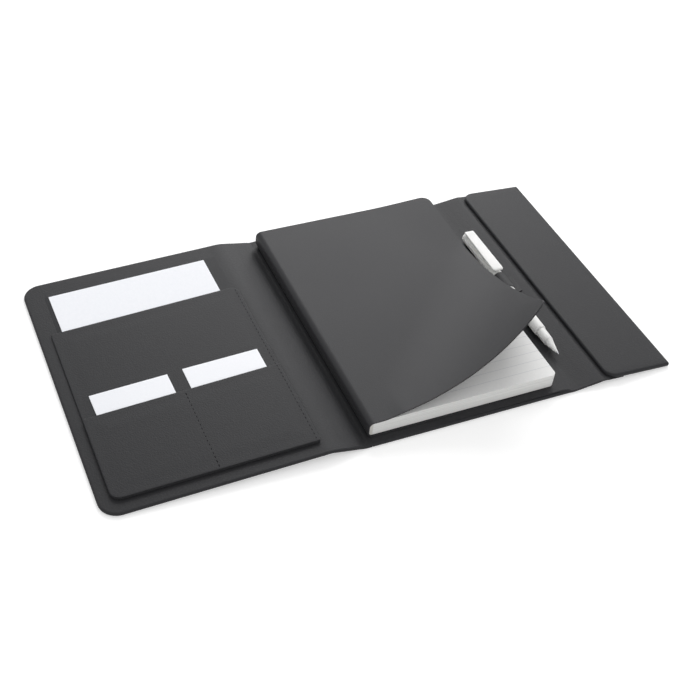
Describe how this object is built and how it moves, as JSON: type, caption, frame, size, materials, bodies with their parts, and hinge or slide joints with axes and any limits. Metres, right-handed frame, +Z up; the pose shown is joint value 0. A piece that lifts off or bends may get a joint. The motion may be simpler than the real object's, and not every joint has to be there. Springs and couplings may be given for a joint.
{
  "type": "magnetic closure journal",
  "caption": "Soft-skinned journal wrapper lying open, with inner pockets, a slip-in softcover notebook, a pen in a loop and a fold-over flap that closes by hidden magnets.",
  "frame": {"origin": "centre of the open journal, on the surface that it lies on", "axes": "+X from the front cover to the flap, +Y up the page, +Z up from the surface"},
  "size_m": [0.4178, 0.225, 0.0708],
  "materials": {
    "outer_skin": "charcoal synthetic leather with a fine satin grain",
    "lining": "charcoal synthetic leather, smooth and matt",
    "pocket_sheet": "charcoal synthetic leather with a fine satin grain",
    "board": "plain grey board",
    "notebook_skin": "soft charcoal cover with a very fine grain",
    "pages": "white paper with faint ruled lines",
    "insert_paper": "white paper",
    "card_stock": "white card",
    "glue": "hot-melt binding glue",
    "steel": "nickel-plated",
    "pen_plastic": "white moulded plastic",
    "pen_metal": "turned metal"
  },
  "bodies": {
    "back_cover": {"back_skin": "outer_skin", "back_board": "board", "back_lining": "lining", "spine_crease": "outer_skin", "closing_crease": "outer_skin", "notebook_sleeve": "lining", "notebook_back_cover": "notebook_skin", "notebook_spine": "notebook_skin", "binding_glue": "glue", "page_block": "pages"},
    "spine": {"spine_skin": "outer_skin", "spine_board": "board", "spine_lining": "lining", "front_crease": "outer_skin"},
    "front_cover": {"front_skin": "outer_skin", "front_board": "board", "front_lining": "lining", "keeper_plates": "steel", "document_pocket": "pocket_sheet", "card_pocket": "pocket_sheet"},
    "paper_insert": {"paper_insert": "insert_paper"},
    "card_left": {"card_left": "card_stock"},
    "card_right": {"card_right": "card_stock"},
    "notebook_cover": {"notebook_front_cover": "notebook_skin"},
    "closing_strip": {"strip_skin": "outer_skin", "strip_lining": "lining", "pen_loop": "outer_skin", "flap_crease": "outer_skin"},
    "flap": {"flap_skin": "outer_skin", "flap_board": "board", "flap_facing": "outer_skin", "flap_magnets": "steel"},
    "pen": {"pen_barrel": "pen_plastic", "pen_clip": "pen_plastic", "pen_grip": "pen_plastic", "pen_nose": "pen_plastic", "pen_point": "pen_metal"}
  },
  "joints": [
    {"name": "spine_fold", "type": "hinge", "parent": "back_cover", "child": "spine", "pos_m": [-0.0314, 0, 0.001], "axis": [0, 1, 0], "range_deg": [0, 79.48], "deforming": ["spine_crease"]},
    {"name": "front_fold", "type": "hinge", "parent": "spine", "child": "front_cover", "pos_m": [-0.05618, 0, 0.0056], "axis": [0, 1, 0], "range_deg": [0, 104.14], "deforming": ["front_crease", "notebook_front_cover"]},
    {"name": "closing_fold", "type": "hinge", "parent": "back_cover", "child": "closing_strip", "pos_m": [0.12665, 0, 0.001], "axis": [0, -1, 0], "range_deg": [0, 68.06], "deforming": ["closing_crease"]},
    {"name": "flap_fold", "type": "hinge", "parent": "closing_strip", "child": "flap", "pos_m": [0.15295, 0, 0.0042], "axis": [0, -1, 0], "range_deg": [0, 115.21], "deforming": ["flap_crease"]},
    {"name": "notebook_opening", "type": "hinge", "parent": "back_cover", "child": "notebook_cover", "pos_m": [-0.023, 0, 0.0156], "axis": [0, 1, 0], "range_deg": [-150, 0]},
    {"name": "pen_slide", "type": "slide", "parent": "closing_strip", "child": "pen", "axis": [0, 1, 0], "range_m": [0, 0.09]},
    {"name": "card_left_slide", "type": "slide", "parent": "front_cover", "child": "card_left", "axis": [0, 1, 0], "range_m": [0, 0.07]},
    {"name": "card_right_slide", "type": "slide", "parent": "front_cover", "child": "card_right", "axis": [0, 1, 0], "range_m": [0, 0.07]},
    {"name": "paper_slide", "type": "slide", "parent": "front_cover", "child": "paper_insert", "axis": [0, 1, 0], "range_m": [0, 0.156]}
  ]
}
